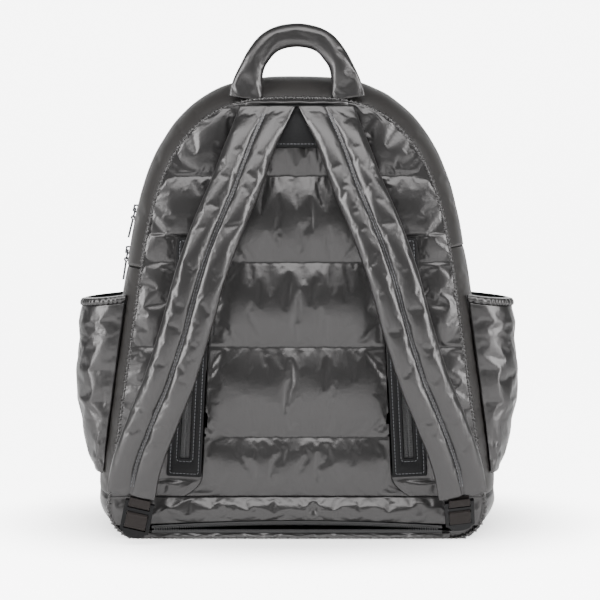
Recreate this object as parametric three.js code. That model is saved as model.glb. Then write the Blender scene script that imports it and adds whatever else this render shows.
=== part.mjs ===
// A quilted backpack for baby things: a domed padded body with a zip over its top, two side
// pockets, two padded shoulder straps on ladder locks, a carry handle, and a zipped mouth along
// the foot of its back. It stands on its base. X runs to the right as the strap side is looked
// at, Y from the straps to the front, Z up, in millimetres.
import * as THREE from "three";

// Body: the seam line that bounds the back panel and the front panel
const baseHalfWidth = 184;
const shoulderHalfWidth = 152;
const shoulderHeight = 250;
const backHeight = 428;
const cornerRadius = 32;
const domeSquareness = 3.1;
const depthAtBase = 150;
const depthAtTop = 130;
const rearSeam = -71;

// Padding
const seamThickness = 4;
const backPuff = 10;
const frontPuff = 9;
const gussetWall = 7;
const sideBulge = 20;
const topBulge = 26;
const channelRelief = 2;
const topSetIn = 0.8;
const gap = 0.3;

// Heights of the sewn lines across the back, and of the crease over the mouth flap
const creaseHeight = 42;
const seamHeights = [101, 189, 271, 354];
const frontSeamHeights = [60, 130, 210, 290, 360];

// Lengthwise seams that bound the centre of the back
const panelSeamAtTop = 75;
const panelSeamAtFoot = 93;
const panelSeamFlare = 17;

// Sleeve patches with their zipped windows
const patchWidth = 33.5;
const patchLength = 232;
const patchFoot = 62;
const patchThickness = 2.2;
const patchSplay = THREE.MathUtils.degToRad(2.9);
const pressedMargin = 13;
const windowWidth = 10;
const windowAboveFoot = 18;
const windowBelowTop = 13;

// Plain tab between the strap tops
const tabHalfWidth = 36;
const tabTop = backHeight - 7;
const tabHeight = 41;
const tabThickness = 2.4;

// Main zip over the top
const zipPlace = -10;
const zipWidth = 8;
const zipThickness = 2.2;
const zipEnd = { left: 264, right: 284 };

// Mouth along the foot of the back
const mouthHalfWidth = 142;
const lipHeight = 6;
const lipFoot = 0.6;
const lipOverhang = 8;
const mouthTapeHeight = 2.6;
const mouthTapeThickness = 1.6;
const mouthGape = 4.6;
const mouthGapeAtEnds = 1.4;

// Side pockets
const pocketFoot = 60;
const pocketTop = 229;
const pocketDepth = 42.5;
const pocketDroop = 6;
const pocketWall = 6;
const pocketSetIn = 13;
const hemHeight = 7;

// Shoulder straps
const strapTop = { out: 28.3, height: tabTop - 4 };
const strapEnd = { out: baseHalfWidth - 26, height: 50, stand: 106 };
const strapBow = 125;
const strapWidth = 47;
const strapTopWidth = 44;
const strapThickness = 15;
const strapTopThickness = 8;
const strapTopLift = 4.8;

// Carry handle
const handleTop = 500;
const handleFootSpread = 47;
const handleWidth = 24;
const handleDepth = 20;
const handleFootDepth = 9;
const handleFootDrop = 2.3;

// Ladder locks and their webbing
const webbingWidth = 20;
const webbingThickness = 1.3;
const lockWidth = 28;
const lockLength = 37;
const lockThickness = 4;
const topBar = 3;
const webbingBar = 9.6;
const middleBar = 3.2;
const slotHeights = { upper: 4, middle: 4.2, low: 4.6 };
const lockSetIn = { left: 10, right: 4 };
const lockLean = { left: 13, right: 7 };
const lockPitch = { left: 10, right: 30 };

// Zip sliders and pulls of the main zip
const sliderLength = 13;
const sliderWidth = 7;
const pullLength = 21;
const pullWidth = 5;
const pullThickness = 1.6;
const linkWire = 1.2;
const linkLength = 11;
const sliderHeights = { upper: 318, lower: 278 };

const quiltedNylon = { color: 0x5f6163, roughness: 0.38, metalness: 0.35 };
const plainTrim = { color: 0x3a3b3d, roughness: 0.6, metalness: 0.0 };
const blackPlastic = { color: 0x1b1b1d, roughness: 0.4, metalness: 0.0 };
const wovenWebbing = { color: 0x463f42, roughness: 0.85, metalness: 0.0 };
const zipCoil = { color: 0x2c2c2e, roughness: 0.55, metalness: 0.1 };
const castMetal = { color: 0x6f7073, roughness: 0.3, metalness: 0.9 };

const sides = [
  { name: "left", sign: -1 },
  { name: "right", sign: 1 },
];
const backpack = new THREE.Group();

function addPiece(name, geometry, finish, parent = backpack) {
  const piece = new THREE.Mesh(geometry, new THREE.MeshStandardMaterial(finish));
  piece.name = name;
  parent.add(piece);
  return piece;
}

// Turns a list of points and a list of corner triples into a geometry whose faces look out.
function closedGeometry(points, corners) {
  let volume = 0;
  for (let i = 0; i < corners.length; i += 3) {
    const [a, b, c] = [points[corners[i]], points[corners[i + 1]], points[corners[i + 2]]];
    volume += a.dot(b.clone().cross(c));
  }
  const turned = volume < 0 ? corners.slice().reverse() : corners;
  const geometry = new THREE.BufferGeometry();
  geometry.setAttribute("position", new THREE.Float32BufferAttribute(points.flatMap((p) => [p.x, p.y, p.z]), 3));
  geometry.setIndex(turned);
  geometry.computeVertexNormals();
  return geometry;
}

// A padded sheet: an outer and an inner face over the same shares across and up, and a rim.
function paddedSheet(across, up, outer, inner) {
  const points = [];
  const corners = [];
  for (const face of [outer, inner]) {
    for (const v of up) for (const u of across) points.push(face(u, v));
  }
  const columns = across.length;
  const layer = columns * up.length;
  const quad = (a, b, c, d) => corners.push(a, b, c, a, c, d);
  for (let row = 0; row < up.length - 1; row++) {
    for (let column = 0; column < columns - 1; column++) {
      const at = row * columns + column;
      quad(at, at + 1, at + 1 + columns, at + columns);
      quad(layer + at + columns, layer + at + columns + 1, layer + at + 1, layer + at);
    }
  }
  const rim = (a, b) => quad(b, a, layer + a, layer + b);
  for (let column = 0; column < columns - 1; column++) {
    rim(column, column + 1);
    rim(layer - columns + column + 1, layer - columns + column);
  }
  for (let row = 0; row < up.length - 1; row++) {
    rim((row + 1) * columns, row * columns);
    rim(row * columns + columns - 1, (row + 1) * columns + columns - 1);
  }
  return closedGeometry(points, corners);
}

// Joins rings of points, each with the same count, into a closed body: a loop, or with flat ends.
function ringedBody(rings, looped = false) {
  const count = rings[0].length;
  const points = rings.flat();
  const corners = [];
  for (let ring = 0; ring < rings.length - (looped ? 0 : 1); ring++) {
    const next = ((ring + 1) % rings.length) * count;
    for (let i = 0; i < count; i++) {
      const after = (i + 1) % count;
      const [a, b] = [ring * count + i, ring * count + after];
      corners.push(a, b, next + after, a, next + after, next + i);
    }
  }
  if (looped) return closedGeometry(points, corners);
  const centreOf = (ring) => ring.reduce((sum, p) => sum.add(p), new THREE.Vector3()).divideScalar(count);
  const lastRing = (rings.length - 1) * count;
  const first = points.push(centreOf(rings[0])) - 1;
  const last = points.push(centreOf(rings.at(-1))) - 1;
  for (let i = 0; i < count; i++) {
    const next = (i + 1) % count;
    corners.push(first, next, i, last, lastRing + i, lastRing + next);
  }
  return closedGeometry(points, corners);
}

const shares = (count) => Array.from({ length: count + 1 }, (_, i) => i / count);

// Shares from bottom to top that put a row on every sewn line and a few rows between them.
function rowsThrough(heights, within = [0, 0.14, 0.36, 0.64, 0.86]) {
  const [low, high] = [heights[0], heights.at(-1)];
  const rows = [];
  for (let i = 0; i < heights.length - 1; i++) {
    for (const part of within) rows.push(heights[i] + part * (heights[i + 1] - heights[i]));
  }
  rows.push(high);
  return rows.map((height) => (height - low) / (high - low));
}

// How full a sewn channel is at a height: none on its two lines, one in its middle.
function channelFill(height, lines) {
  const above = lines.findIndex((line) => line > height);
  if (above < 1) return 0;
  const share = (height - lines[above - 1]) / (lines[above] - lines[above - 1]);
  return Math.pow(1 - Math.pow(Math.abs(2 * share - 1), 2.4), 0.8);
}

// The seam line that bounds the back, as a round trip of named stretches: station 0 to 1 is the
// flat base from its middle, 1 to 2 the corner, 2 to 3 the tapering side, 3 to 4 the dome.
function seamPoint(station) {
  const flatHalf = baseHalfWidth - cornerRadius;
  if (station <= 1) return { x: station * flatHalf, z: 0 };
  if (station <= 2) {
    const turn = ((station - 1) * Math.PI) / 2;
    return { x: flatHalf + cornerRadius * Math.sin(turn), z: cornerRadius * (1 - Math.cos(turn)) };
  }
  if (station <= 3) {
    const rise = station - 2;
    return {
      x: baseHalfWidth + rise * (shoulderHalfWidth - baseHalfWidth),
      z: cornerRadius + rise * (shoulderHeight - cornerRadius),
    };
  }
  const turn = ((Math.min(station, 4) - 3) * Math.PI) / 2;
  const power = 2 / domeSquareness;
  const height = Math.pow(Math.sin(turn), power) * (backHeight - shoulderHeight);
  const taper = (baseHalfWidth - shoulderHalfWidth) / (shoulderHeight - cornerRadius);
  return {
    x: (shoulderHalfWidth - taper * height) * Math.pow(Math.max(Math.cos(turn), 0), power),
    z: shoulderHeight + height,
  };
}

function stationAt(height) {
  if (height < cornerRadius) return 1 + Math.acos(1 - height / cornerRadius) / (Math.PI / 2);
  if (height <= shoulderHeight) return 2 + (height - cornerRadius) / (shoulderHeight - cornerRadius);
  const rise = Math.min((height - shoulderHeight) / (backHeight - shoulderHeight), 1);
  return 3 + Math.asin(Math.pow(rise, domeSquareness / 2)) / (Math.PI / 2);
}

const seamHalfWidth = (height) => seamPoint(stationAt(height)).x;

// Unit direction out of the body at a station.
function seamOutward(station) {
  const step = 0.01;
  const before = seamPoint(Math.max(station - step, 0));
  const after = seamPoint(Math.min(station + step, 4));
  const length = Math.hypot(after.x - before.x, after.z - before.z);
  return { x: (after.z - before.z) / length, z: -(after.x - before.x) / length };
}

const frontSeam = (height) => rearSeam + depthAtBase + (height / backHeight) * (depthAtTop - depthAtBase);

// The gusset runs round the seam line and swells between its rear and front seams.
function gussetSwell(station, y, height) {
  const share = (y - rearSeam) / (frontSeam(height) - rearSeam);
  const cross = Math.max(0, 1 - Math.pow(Math.abs(2 * share - 1), 4));
  const grown = THREE.MathUtils.smoothstep(station, 1, 2.35);
  const full = sideBulge * grown + (topBulge - sideBulge) * THREE.MathUtils.smoothstep(station, 3, 4);
  return full * cross;
}

function gussetPoint(sign, station, y, offset) {
  const seam = seamPoint(station);
  const out = seamOutward(station);
  const reach = gussetSwell(station, y, seam.z) + offset;
  return new THREE.Vector3(sign * (seam.x + out.x * reach), y, seam.z + out.z * reach);
}

// A length of gusset: stops are {sign, station} round the seam, rearAt and frontAt give its edges.
function gussetStrip(stops, rearAt, frontAt, depthSteps, wall, relief) {
  const at = (u) => stops[Math.round(u * (stops.length - 1))];
  const face = (offset) => (u, v) => {
    const { sign, station } = at(u);
    const height = seamPoint(station).z;
    const y = rearAt(height) + v * (frontAt(height) - rearAt(height));
    return gussetPoint(sign, station, y, offset(station, v));
  };
  const outer = face((station, v) => relief(station) * Math.sin(Math.PI * v));
  return paddedSheet(shares(stops.length - 1), depthSteps, outer, face(() => -wall));
}

const stopsBetween = (sign, from, to, count) =>
  shares(count).map((share) => ({ sign, station: from + share * (to - from) }));
const stationGap = gap / (shoulderHeight - cornerRadius);
const zipStops = [
  ...stopsBetween(-1, stationAt(zipEnd.left) + stationGap, 4, 16),
  ...stopsBetween(1, 4, stationAt(zipEnd.right) + stationGap, 16).slice(1),
];
const evenDepth = [0, 0.06, 0.18, 0.36, 0.64, 0.82, 0.94, 1];
const rearEdge = () => rearSeam + gap;
const frontEdge = (height) => frontSeam(height) - gap;
const zipRear = zipPlace - zipWidth / 2;
const zipFront = zipPlace + zipWidth / 2;

addPiece(
  "gusset_rear_strip",
  gussetStrip(zipStops, rearEdge, () => zipRear - gap, [0, 0.08, 0.25, 0.55, 1], seamThickness, () => 0),
  quiltedNylon,
);
addPiece(
  "main_zip",
  gussetStrip(zipStops, () => zipRear, () => zipFront, [0, 1], zipThickness, () => 0),
  zipCoil,
);
addPiece(
  "gusset_front_strip",
  gussetStrip(zipStops, () => zipFront + gap, frontEdge, [0, 0.45, 0.75, 0.92, 1], seamThickness, () => 0),
  quiltedNylon,
);

const sideLines = [creaseHeight, ...seamHeights.slice(0, 2)];
for (const { name, sign } of sides) {
  const lines = [...sideLines, zipEnd[name]];
  const stops = rowsThrough(lines, [0, 0.2, 0.5, 0.8]).map((share) => {
    const height = lines[0] + share * (lines.at(-1) - lines[0]);
    return { sign, station: stationAt(height) };
  });
  const relief = (station) => channelRelief * channelFill(seamPoint(station).z, lines);
  addPiece(
    "side_gusset_" + name,
    gussetStrip(stops, rearEdge, frontEdge, evenDepth, gussetWall, relief),
    quiltedNylon,
  );
}

const baseEnd = stationAt(creaseHeight) - stationGap;
const baseStations = [baseEnd, 2, 1.75, 1.5, 1.25, 1, 0.5];
const baseStops = [
  ...baseStations.map((station) => ({ sign: -1, station })),
  { sign: 1, station: 0 },
  ...baseStations.toReversed().map((station) => ({ sign: 1, station })),
];
addPiece(
  "base_panel",
  gussetStrip(baseStops, rearEdge, frontEdge, evenDepth, gussetWall, () => 0),
  quiltedNylon,
);

// Half width of the centre of the back at a height, out to its lengthwise seam.
function panelSeam(height) {
  const share = (backHeight - height) / (backHeight - patchFoot);
  const flare = Math.max(0, (patchFoot - height) / (patchFoot - creaseHeight));
  const straight = panelSeamAtTop + share * (panelSeamAtFoot - panelSeamAtTop);
  return straight + panelSeamFlare * flare * flare;
}

const backLines = [creaseHeight, ...seamHeights, backHeight];
const backFace = rearSeam - seamThickness;

// How far the centre of the back stands proud at a place.
function centreRelief(x, height) {
  const half = Math.min(panelSeam(height), seamHalfWidth(height));
  const across = Math.min(Math.abs(x) / half, 1);
  return backPuff * channelFill(height, backLines) * (1 - Math.pow(across, 5));
}

const centreTop = backHeight - topSetIn;
const centreRows = rowsThrough([creaseHeight, ...seamHeights, centreTop]);
function centrePlace(u, v) {
  const height = creaseHeight + v * (centreTop - creaseHeight);
  const half = Math.min(panelSeam(height), seamHalfWidth(height)) - gap / 2;
  return { x: (2 * u - 1) * half, z: height };
}
addPiece(
  "back_panel_centre",
  paddedSheet(
    [0, 0.06, 0.2, 0.4, 0.6, 0.8, 0.94, 1],
    centreRows,
    (u, v) => {
      const { x, z } = centrePlace(u, v);
      return new THREE.Vector3(x, backFace - centreRelief(x, z), z);
    },
    (u, v) => {
      const { x, z } = centrePlace(u, v);
      return new THREE.Vector3(x, rearSeam, z);
    },
  ),
  quiltedNylon,
);

// The sides of the back are pressed flat under the patches and swell beside them.
const patchMid = patchFoot + patchLength / 2;
function sideTop() {
  let height = backHeight;
  while (seamHalfWidth(height) < panelSeam(height) + seamThickness) height -= 1;
  return height;
}
const sidePanelTop = sideTop();
const sideRows = rowsThrough([creaseHeight, ...seamHeights, sidePanelTop]);
const pressedWidth = patchWidth + 5;
const pressedHalfHeight = patchLength / 2 + pressedMargin;
for (const { name, sign } of sides) {
  const place = (u, v) => {
    const height = creaseHeight + v * (sidePanelTop - creaseHeight);
    const [near, far] = [panelSeam(height) + gap / 2, seamHalfWidth(height)];
    const pressed = Math.min(pressedWidth, 0.7 * (far - near));
    const across = u <= 0.5 ? 2 * u * pressed : pressed + (2 * u - 1) * (far - near - pressed);
    return { x: sign * (near + across), z: height };
  };
  const outer = (u, v) => {
    const { x, z } = place(u, v);
    const underPatch = Math.abs(z - patchMid) < pressedHalfHeight;
    const share = underPatch ? Math.max(2 * u - 1, 0) : u;
    const relief = backPuff * 0.8 * channelFill(z, [...backLines.slice(0, -1), sidePanelTop]);
    return new THREE.Vector3(x, backFace - relief * Math.sin(Math.PI * share), z);
  };
  const inner = (u, v) => {
    const { x, z } = place(u, v);
    return new THREE.Vector3(x, rearSeam, z);
  };
  addPiece("back_panel_" + name, paddedSheet([0, 0.25, 0.5, 0.65, 0.85, 1], sideRows, outer, inner), quiltedNylon);
}

// Patches: a strip with a long window, laid on the side of the back, and the zip in its window.
function oblong(width, length, radius) {
  const [x, y] = [width / 2, length / 2];
  const shape = new THREE.Shape();
  shape.moveTo(-x + radius, -y);
  shape.lineTo(x - radius, -y);
  shape.quadraticCurveTo(x, -y, x, -y + radius);
  shape.lineTo(x, y - radius);
  shape.quadraticCurveTo(x, y, x - radius, y);
  shape.lineTo(-x + radius, y);
  shape.quadraticCurveTo(-x, y, -x, y - radius);
  shape.lineTo(-x, -y + radius);
  shape.quadraticCurveTo(-x, -y, -x + radius, -y);
  return shape;
}
const windowLength = patchLength - windowAboveFoot - windowBelowTop;
const windowMid = patchFoot + windowAboveFoot + windowLength / 2;
for (const { name, sign } of sides) {
  const outline = oblong(patchWidth, patchLength, 2);
  const opening = oblong(windowWidth, windowLength, 1);
  const drop = windowMid - patchMid;
  outline.holes.push(new THREE.Path(opening.getPoints(3).map((p) => new THREE.Vector2(p.x, p.y + drop))));
  const upright = { depth: patchThickness, bevelEnabled: false, curveSegments: 3 };
  const patch = new THREE.Group();
  patch.position.set(sign * (panelSeam(patchMid) + gap + patchWidth / 2), backFace - gap, patchMid);
  patch.rotation.set(0, -sign * patchSplay, 0);
  backpack.add(patch);
  const strip = new THREE.ExtrudeGeometry(outline, upright).rotateX(Math.PI / 2);
  addPiece("sleeve_patch_" + name, strip, plainTrim, patch);
  const zipShape = oblong(windowWidth - 2 * gap, windowLength - 2 * gap, 1);
  const zipSheet = { depth: patchThickness - 0.6, bevelEnabled: false, curveSegments: 3 };
  const zip = new THREE.ExtrudeGeometry(zipShape, zipSheet).rotateX(Math.PI / 2).translate(0, 0, drop);
  addPiece("sleeve_zip_" + name, zip, zipCoil, patch);
}

// Tab between the strap tops, lying on the top channel of the back.
const tabPlace = (u, v) => ({ x: (2 * u - 1) * tabHalfWidth, z: tabTop - (1 - v) * tabHeight });
const tabFace = (stand) => (u, v) => {
  const { x, z } = tabPlace(u, v);
  return new THREE.Vector3(x, backFace - centreRelief(x, z) - gap - stand, z);
};
addPiece(
  "yoke_tab",
  paddedSheet(shares(6), shares(5), tabFace(gap + tabThickness), tabFace(gap)),
  plainTrim,
);

// Foot of the back: a padded flap over the mouth, a lip under it, and a zip tape on each.
const mouthFoot = lipHeight + mouthTapeHeight + 2 * gap;
function mouthEdge(x) {
  const share = Math.min(Math.abs(x) / mouthHalfWidth, 1);
  return mouthFoot + mouthGapeAtEnds + mouthGape * (1 - share * share);
}
const footShares = [0, 0.03, 0.1, 0.22, 0.36, 0.5, 0.64, 0.78, 0.9, 0.97, 1];
const flapTop = creaseHeight - gap;
const mouthEnd = baseHalfWidth - cornerRadius;
const flapPlace = (u, v) => {
  const across = 2 * u - 1;
  const low = mouthEdge(across * mouthEnd) + mouthTapeHeight + gap;
  const z = low + v * (flapTop - low);
  return { x: across * (mouthEnd + (seamHalfWidth(z) - mouthEnd) * Math.abs(across)), z };
};
function flapFace(x, z) {
  const low = mouthEdge(x) + mouthTapeHeight + gap;
  const up = THREE.MathUtils.clamp((z - low) / (flapTop - low), 0, 1);
  const full = Math.sin(Math.PI * up) * (1 - Math.pow(Math.min(Math.abs(x) / seamHalfWidth(z), 1), 8));
  return backFace - backPuff * full;
}
addPiece(
  "bottom_flap",
  paddedSheet(
    footShares,
    [0, 0.15, 0.5, 0.85, 1],
    (u, v) => {
      const { x, z } = flapPlace(u, v);
      return new THREE.Vector3(x, flapFace(x, z), z);
    },
    (u, v) => {
      const { x, z } = flapPlace(u, v);
      return new THREE.Vector3(x, rearSeam, z);
    },
  ),
  quiltedNylon,
);
addPiece(
  "mouth_lip",
  paddedSheet(
    footShares,
    [0, 0.3, 0.7, 1],
    (u, v) => {
      const full = Math.sin(Math.PI * v) * (1 - Math.pow(Math.abs(2 * u - 1), 8));
      const z = lipFoot + v * (lipHeight - lipFoot);
      return new THREE.Vector3((2 * u - 1) * (mouthHalfWidth + lipOverhang), backFace - 4 * full, z);
    },
    (u, v) => {
      const z = lipFoot + v * (lipHeight - lipFoot);
      return new THREE.Vector3((2 * u - 1) * (mouthHalfWidth + lipOverhang), rearSeam, z);
    },
  ),
  quiltedNylon,
);
for (const [name, footOf] of [
  ["lower", () => lipHeight + gap],
  ["upper", (x) => mouthEdge(x)],
]) {
  const tape = (depth) => (u, v) => {
    const x = (2 * u - 1) * mouthHalfWidth;
    return new THREE.Vector3(x, depth, footOf(x) + v * mouthTapeHeight);
  };
  const face = backFace + 1;
  addPiece(
    "mouth_zip_" + name,
    paddedSheet(footShares, [0, 1], tape(face - mouthTapeThickness), tape(face)),
    zipCoil,
  );
}

// Front panel, quilted in plain bands, behind the front seam.
const frontTop = backHeight - topSetIn;
const frontFoot = 6;
const frontLines = [frontFoot, ...frontSeamHeights, frontTop];
const frontFace = (puff, stand) => (u, v) => {
  const z = frontFoot + v * (frontTop - frontFoot);
  const across = 2 * u - 1;
  const relief = puff * channelFill(z, frontLines) * (1 - Math.pow(Math.abs(across), 6));
  return new THREE.Vector3(across * (seamHalfWidth(z) - gap), frontSeam(z) + stand + relief, z);
};
addPiece(
  "front_panel",
  paddedSheet(
    [0, 0.05, 0.18, 0.38, 0.62, 0.82, 0.95, 1],
    rowsThrough(frontLines, [0, 0.18, 0.5, 0.82]),
    frontFace(frontPuff, gap + seamThickness),
    frontFace(0, gap),
  ),
  quiltedNylon,
);

// Side pockets: each wall runs from the rear of the gusset round to its front and stands away
// from it by the shares below, of the pocket's depth, at shares of its height.
const pocketSections = [
  { up: 0, out: 0.13 },
  { up: 0.08, out: 0.3 },
  { up: 0.2, out: 0.48 },
  { up: 0.3, out: 0.6 },
  { up: 0.42, out: 0.76 },
  { up: 0.6, out: 0.88 },
  { up: 0.8, out: 0.93 },
  { up: 0.9, out: 1 },
  { up: 1, out: 0.98 },
];
function fromTable(rows, key, value, at) {
  const next = rows.findIndex((row) => row[key] >= at);
  if (next <= 0) return rows[next === 0 ? 0 : rows.length - 1][value];
  const [low, high] = [rows[next - 1], rows[next]];
  return low[value] + ((at - low[key]) / (high[key] - low[key])) * (high[value] - low[value]);
}
const roundTurns = shares(12);
function pocketFace(sign, heightOf, shrink) {
  return (u, v) => {
    const height = heightOf(v);
    const rear = rearSeam + pocketSetIn;
    const front = frontSeam(height) - pocketSetIn;
    const turn = Math.PI * u;
    const reach = fromTable(pocketSections, "up", "out", (height - pocketFoot) / (pocketTop - pocketFoot));
    const half = (front - rear) / 2 - shrink;
    const y = (rear + front) / 2 - half * Math.sign(Math.cos(turn)) * Math.pow(Math.abs(Math.cos(turn)), 0.7);
    const out = Math.max(pocketDepth * reach - shrink, 0) * Math.pow(Math.sin(turn), 0.7);
    const up = (height - pocketFoot) / (pocketTop - pocketFoot);
    const wall = gussetPoint(sign, stationAt(height), y, channelRelief + gap);
    return wall.add(new THREE.Vector3(sign * out, 0, (-pocketDroop * up * out) / pocketDepth));
  };
}
for (const { name, sign } of sides) {
  const wallHeight = (v) => pocketFoot + v * (pocketTop - pocketFoot);
  addPiece(
    "side_pocket_" + name,
    paddedSheet(
      roundTurns,
      pocketSections.map((row) => row.up),
      pocketFace(sign, wallHeight, 0),
      pocketFace(sign, wallHeight, pocketWall),
    ),
    quiltedNylon,
  );
  const hemAt = (v) => pocketTop + gap + v * hemHeight;
  addPiece(
    "pocket_hem_" + name,
    paddedSheet(roundTurns, [0, 1], pocketFace(sign, hemAt, 0), pocketFace(sign, hemAt, pocketWall - 1)),
    quiltedNylon,
  );
}

// Shoulder straps: down and out are shares of the way from the strap's top to its end, stand is
// the share of its full bow away from the back.
const strapRoute = [
  { down: 0, out: 0, stand: 0 },
  { down: 0.1, out: 0.12, stand: 0.3 },
  { down: 0.2, out: 0.22, stand: 0.56 },
  { down: 0.32, out: 0.36, stand: 0.82 },
  { down: 0.43, out: 0.47, stand: 0.97 },
  { down: 0.57, out: 0.58, stand: 1 },
  { down: 0.7, out: 0.7, stand: 0.94 },
  { down: 0.8, out: 0.82, stand: 0.8 },
  { down: 0.92, out: 0.95, stand: 0.6 },
  { down: 1, out: 1, stand: 0.48 },
];
const padSection = [
  [-1, 0],
  [-0.92, 0.62],
  [-0.55, 1],
  [0, 0.72],
  [0.55, 1],
  [0.92, 0.62],
  [1, 0],
  [0.92, -0.62],
  [0.55, -0.95],
  [0, -0.8],
  [-0.55, -0.95],
  [-0.92, -0.62],
];
function sweptPad(curve, steps, sizeAt, section) {
  const rings = shares(steps).map((share) => {
    const centre = curve.getPointAt(share);
    const along = curve.getTangentAt(share);
    const aside = along.clone().cross(new THREE.Vector3(0, -1, 0)).normalize();
    const outward = aside.clone().cross(along).normalize();
    const { width, depth } = sizeAt(share);
    return section.map(([a, b]) =>
      centre.clone().addScaledVector(aside, (a * width) / 2).addScaledVector(outward, (b * depth) / 2),
    );
  });
  return ringedBody(rings);
}
const strapTopStand = -(backFace - centreRelief(strapTop.out, strapTop.height)) + strapTopThickness / 2 + strapTopLift;
for (const { name, sign } of sides) {
  const curve = new THREE.CatmullRomCurve3(
    strapRoute.map(({ down, out, stand }) => {
      const x = strapTop.out + out * (strapEnd.out - strapTop.out);
      const z = strapTop.height + down * (strapEnd.height - strapTop.height);
      return new THREE.Vector3(sign * x, -(strapTopStand + stand * (strapBow - strapTopStand)), z);
    }),
    false,
    "centripetal",
  );
  const sizeAt = (share) => {
    const grown = THREE.MathUtils.smoothstep(share, 0, 0.12);
    const closing = THREE.MathUtils.smoothstep(share, 0.93, 1);
    const full = strapTopThickness + grown * (strapThickness - strapTopThickness);
    return {
      width: strapTopWidth + THREE.MathUtils.smoothstep(share, 0, 0.5) * (strapWidth - strapTopWidth),
      depth: full - closing * (strapThickness - strapTopThickness),
    };
  };
  addPiece("shoulder_strap_" + name, sweptPad(curve, 26, sizeAt, padSection), quiltedNylon);
}

// Carry handle: a padded arch whose flattened feet stand on the rear edge of the gusset.
const handlePlace = rearSeam - 1;
const handleFoot = gussetPoint(1, stationAt(backHeight - handleFootDrop), rearSeam + handleFootDepth / 2, gap).z;
const handleRoute = [
  { out: 1, up: 0 },
  { out: 0.96, up: 0.3 },
  { out: 0.82, up: 0.62 },
  { out: 0.5, up: 0.9 },
  { out: 0, up: 1 },
];
const handleMid = handleTop - handleWidth / 2;
const handlePoints = [
  ...handleRoute.map(({ out, up }) => ({ out: -out, up })),
  ...handleRoute.toReversed().slice(1),
].map(({ out, up }) =>
  new THREE.Vector3(out * handleFootSpread, handlePlace, handleFoot + up * (handleMid - handleFoot)),
);
const ovalSection = shares(10)
  .slice(1)
  .map((share) => [Math.cos(2 * Math.PI * share), Math.sin(2 * Math.PI * share)]);
addPiece(
  "carry_handle",
  sweptPad(
    new THREE.CatmullRomCurve3(handlePoints, false, "centripetal"),
    22,
    (share) => {
      const fromFoot = THREE.MathUtils.smoothstep(Math.min(share, 1 - share), 0, 0.22);
      return {
        width: handleWidth + 3 * (1 - fromFoot),
        depth: handleFootDepth + fromFoot * (handleDepth - handleFootDepth),
      };
    },
    ovalSection,
  ),
  quiltedNylon,
);

// A flat band along a route in the plane of depth and height, as wide as the webbing.
function webbingBand(route) {
  const half = webbingThickness / 2;
  const sidesOf = (turn) =>
    route.map((point, i) => {
      const before = route[Math.max(i - 1, 0)];
      const after = route[Math.min(i + 1, route.length - 1)];
      const [a, b] = [point.clone().sub(before), after.clone().sub(point)];
      const ways = [a, b].filter((way) => way.length() > 0).map((way) => way.normalize());
      const mean = ways.reduce((sum, way) => sum.add(way), new THREE.Vector2()).normalize();
      const reach = half / Math.max(mean.dot(ways.at(-1)), 0.5);
      return new THREE.Vector2(-mean.y, mean.x).multiplyScalar(turn * reach).add(point);
    });
  const outline = new THREE.Shape([...sidesOf(1), ...sidesOf(-1).reverse()]);
  return new THREE.ExtrudeGeometry(outline, { depth: webbingWidth, bevelEnabled: false })
    .translate(0, 0, -webbingWidth / 2)
    .applyMatrix4(new THREE.Matrix4().makeBasis(
      new THREE.Vector3(0, 1, 0),
      new THREE.Vector3(0, 0, 1),
      new THREE.Vector3(1, 0, 0),
    ));
}

// Ladder lock, measured up from its middle: its three slots and the bars between them.
const slotWidth = webbingWidth + 1.6;
const lockTop = lockLength / 2;
const slotUnder = (edge, height) => ({ foot: edge - height, height });
const upperSlot = slotUnder(lockTop - topBar, slotHeights.upper);
const midSlot = slotUnder(upperSlot.foot - middleBar, slotHeights.middle);
const lowSlot = slotUnder(midSlot.foot - webbingBar, slotHeights.low);
function ladderLock() {
  const tabRadius = lockWidth * 0.4;
  const outline = new THREE.Shape();
  outline.moveTo(-lockWidth / 2, lockTop);
  outline.lineTo(-lockWidth / 2, lowSlot.foot - 1.5);
  outline.lineTo(-tabRadius, lowSlot.foot - 3);
  outline.quadraticCurveTo(-tabRadius * 0.8, -lockTop, 0, -lockTop);
  outline.quadraticCurveTo(tabRadius * 0.8, -lockTop, tabRadius, lowSlot.foot - 3);
  outline.lineTo(lockWidth / 2, lowSlot.foot - 1.5);
  outline.lineTo(lockWidth / 2, lockTop);
  for (const { foot, height } of [upperSlot, midSlot, lowSlot]) {
    const hole = new THREE.Path();
    hole.moveTo(-slotWidth / 2, foot);
    hole.lineTo(slotWidth / 2, foot);
    hole.lineTo(slotWidth / 2, foot + height);
    hole.lineTo(-slotWidth / 2, foot + height);
    outline.holes.push(hole);
  }
  return new THREE.ExtrudeGeometry(outline, { depth: lockThickness, bevelEnabled: false, curveSegments: 6 })
    .translate(0, 0, -lockThickness / 2)
    .rotateX(Math.PI / 2);
}
const clear = lockThickness / 2 + webbingThickness / 2 + gap;
const upperMid = upperSlot.foot + upperSlot.height / 2 - 0.4;
const loopTop = lockTop + 3.5;
const loopRoute = [
  [clear, loopTop],
  [clear, upperMid + 1.6],
  [clear - 1.5, upperMid],
  [1.5 - clear, upperMid],
  [-clear, upperMid + 1.6],
  [-clear, loopTop],
].map(([y, z]) => new THREE.Vector2(y, z));
const midMid = midSlot.foot + midSlot.height / 2;
const lowMid = lowSlot.foot + lowSlot.height / 2;
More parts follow.
